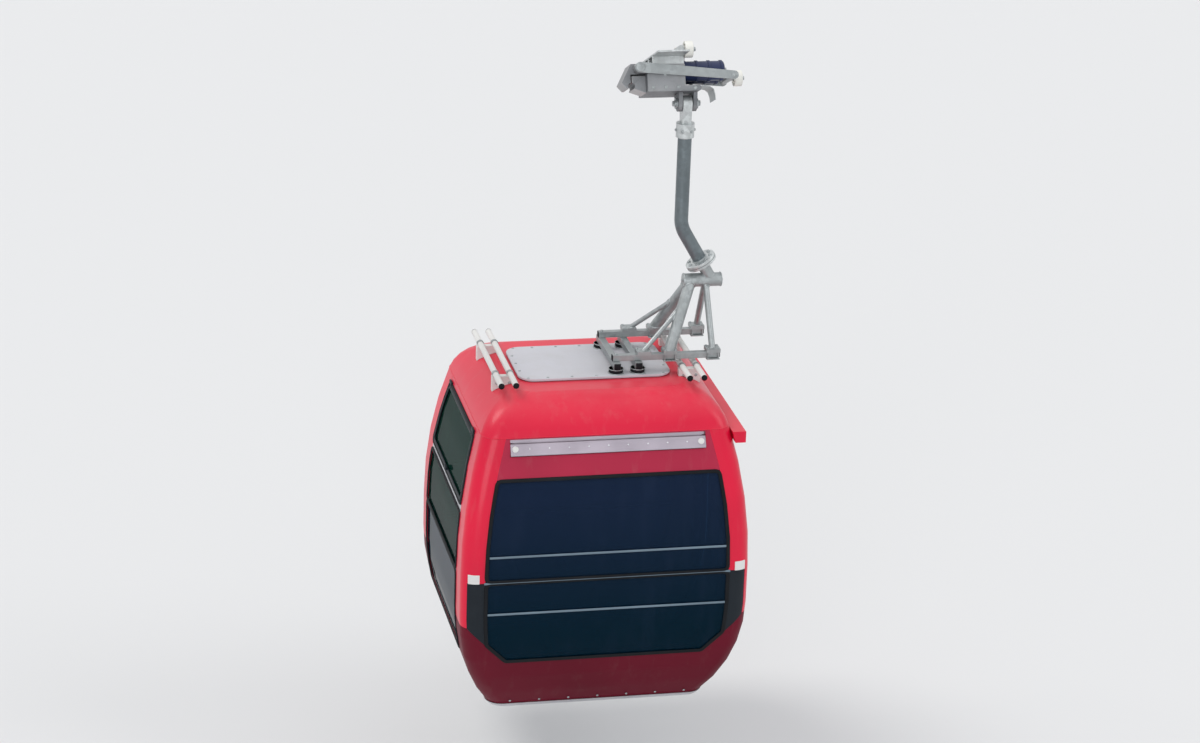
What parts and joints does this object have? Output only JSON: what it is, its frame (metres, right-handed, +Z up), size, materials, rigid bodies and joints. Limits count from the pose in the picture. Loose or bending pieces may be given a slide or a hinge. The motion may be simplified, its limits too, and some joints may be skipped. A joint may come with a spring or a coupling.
{
  "type": "cable car cabin",
  "caption": "Glazed gondola cabin with sliding doors, hung from a swinging hanger arm and a detachable rope grip with jaws and rollers.",
  "frame": {"origin": "on the haul rope's axis at the middle of the grip's jaws", "axes": "+Z up, +X across the rope towards the hanger arm and the doors, +Y along the travel, the way the rope falls"},
  "size_m": [1.888, 1.662, 4.1927],
  "materials": {
    "red_paint": "satin",
    "dark_red_paint": "satin",
    "black_frame": "matte",
    "grey_paint": "satin",
    "white_paint": "satin",
    "aluminium": "brushed",
    "galvanised": "galvanised",
    "cast_steel": "cast",
    "blue_paint": "satin",
    "tinted_glass": "tinted",
    "side_glass": "tinted",
    "roller_tyre": "smooth",
    "rubber": "matte",
    "seat": "satin",
    "floor": "matte"
  },
  "bodies": {
    "grip": {"grip_body": "cast_steel", "fixed_jaw": "cast_steel", "hanger_pin": "galvanised", "spring_housings": "blue_paint", "drive_plate": "galvanised", "roller_bracket": "galvanised"},
    "jaw": {"movable_jaw": "cast_steel", "jaw_shaft": "galvanised", "opening_lever": "galvanised"},
    "opening_wheel": {"opening_roller": "roller_tyre"},
    "running_wheel_near": {"running_roller_near": "roller_tyre"},
    "running_wheel_far": {"running_roller_far": "roller_tyre"},
    "cabin": {"arm_flanges": "galvanised", "belt_rails": "black_frame", "bench_kicks": "seat", "benches": "seat", "ceiling": "grey_paint", "cross_beams": "galvanised", "door_guide": "aluminium", "door_jambs": "black_frame", "door_sill": "aluminium", "door_track": "aluminium", "floor": "floor", "floor_rim": "aluminium", "glass_end_lower": "tinted_glass", "glass_end_upper": "tinted_glass", "glass_inner_lower": "tinted_glass", "glass_inner_upper": "side_glass", "glass_outer_lower": "tinted_glass", "glass_outer_upper": "side_glass", "guard_bars": "aluminium", "hanger_arm": "galvanised", "hanger_head": "galvanised", "header_ends": "red_paint", "long_beams": "galvanised", "mullion": "aluminium", "post_caps": "white_paint", "posts_lower": "black_frame", "posts_upper": "red_paint", "rail_brackets": "white_paint", "roof_rails": "white_paint", "roof_slopes": "red_paint", "roof_top": "grey_paint", "rubber_mounts": "rubber", "side_headers": "red_paint", "skirt_ends": "dark_red_paint", "skirt_sides": "dark_red_paint", "vent_ends": "aluminium", "vent_sash": "side_glass", "yoke": "galvanised"},
    "door_near": {"door_near": "red_paint", "door_near_glass": "tinted_glass", "door_near_hanger": "galvanised"},
    "door_far": {"door_far": "red_paint", "door_far_glass": "tinted_glass", "door_far_hanger": "galvanised"}
  },
  "joints": [
    {"name": "hanger_swing", "type": "hinge", "parent": "grip", "child": "cabin", "pos_m": [0.36, -0.04271, -0.09592], "axis": [1, 0, 0], "range_deg": [-59, 11]},
    {"name": "door_near_slide", "type": "slide", "parent": "cabin", "child": "door_near", "axis": [0, -1, 0], "range_m": [0, 0.34]},
    {"name": "door_far_slide", "type": "slide", "parent": "cabin", "child": "door_far", "axis": [0, 1, 0], "range_m": [0, 0.34]},
    {"name": "jaw_opening", "type": "hinge", "parent": "grip", "child": "jaw", "pos_m": [0.045, 0.04271, 0.09592], "axis": [0, 0.9135, -0.4067], "range_deg": [0, 12]},
    {"name": "opening_roller_spin", "type": "hinge", "parent": "jaw", "child": "opening_wheel", "pos_m": [0.69, 0.0183, 0.04111], "axis": [1, 0, 0], "continuous": true},
    {"name": "running_roller_near_spin", "type": "hinge", "parent": "grip", "child": "running_wheel_near", "pos_m": [0.36, -0.02675, 0.24725], "axis": [1, 0, 0], "continuous": true},
    {"name": "running_roller_far_spin", "type": "hinge", "parent": "grip", "child": "running_wheel_far", "pos_m": [0.36, 0.20164, 0.14557], "axis": [1, 0, 0], "continuous": true}
  ],
  "couplings": [
    {"joint": "door_far_slide", "follows": "door_near_slide", "ratio": 1}
  ]
}
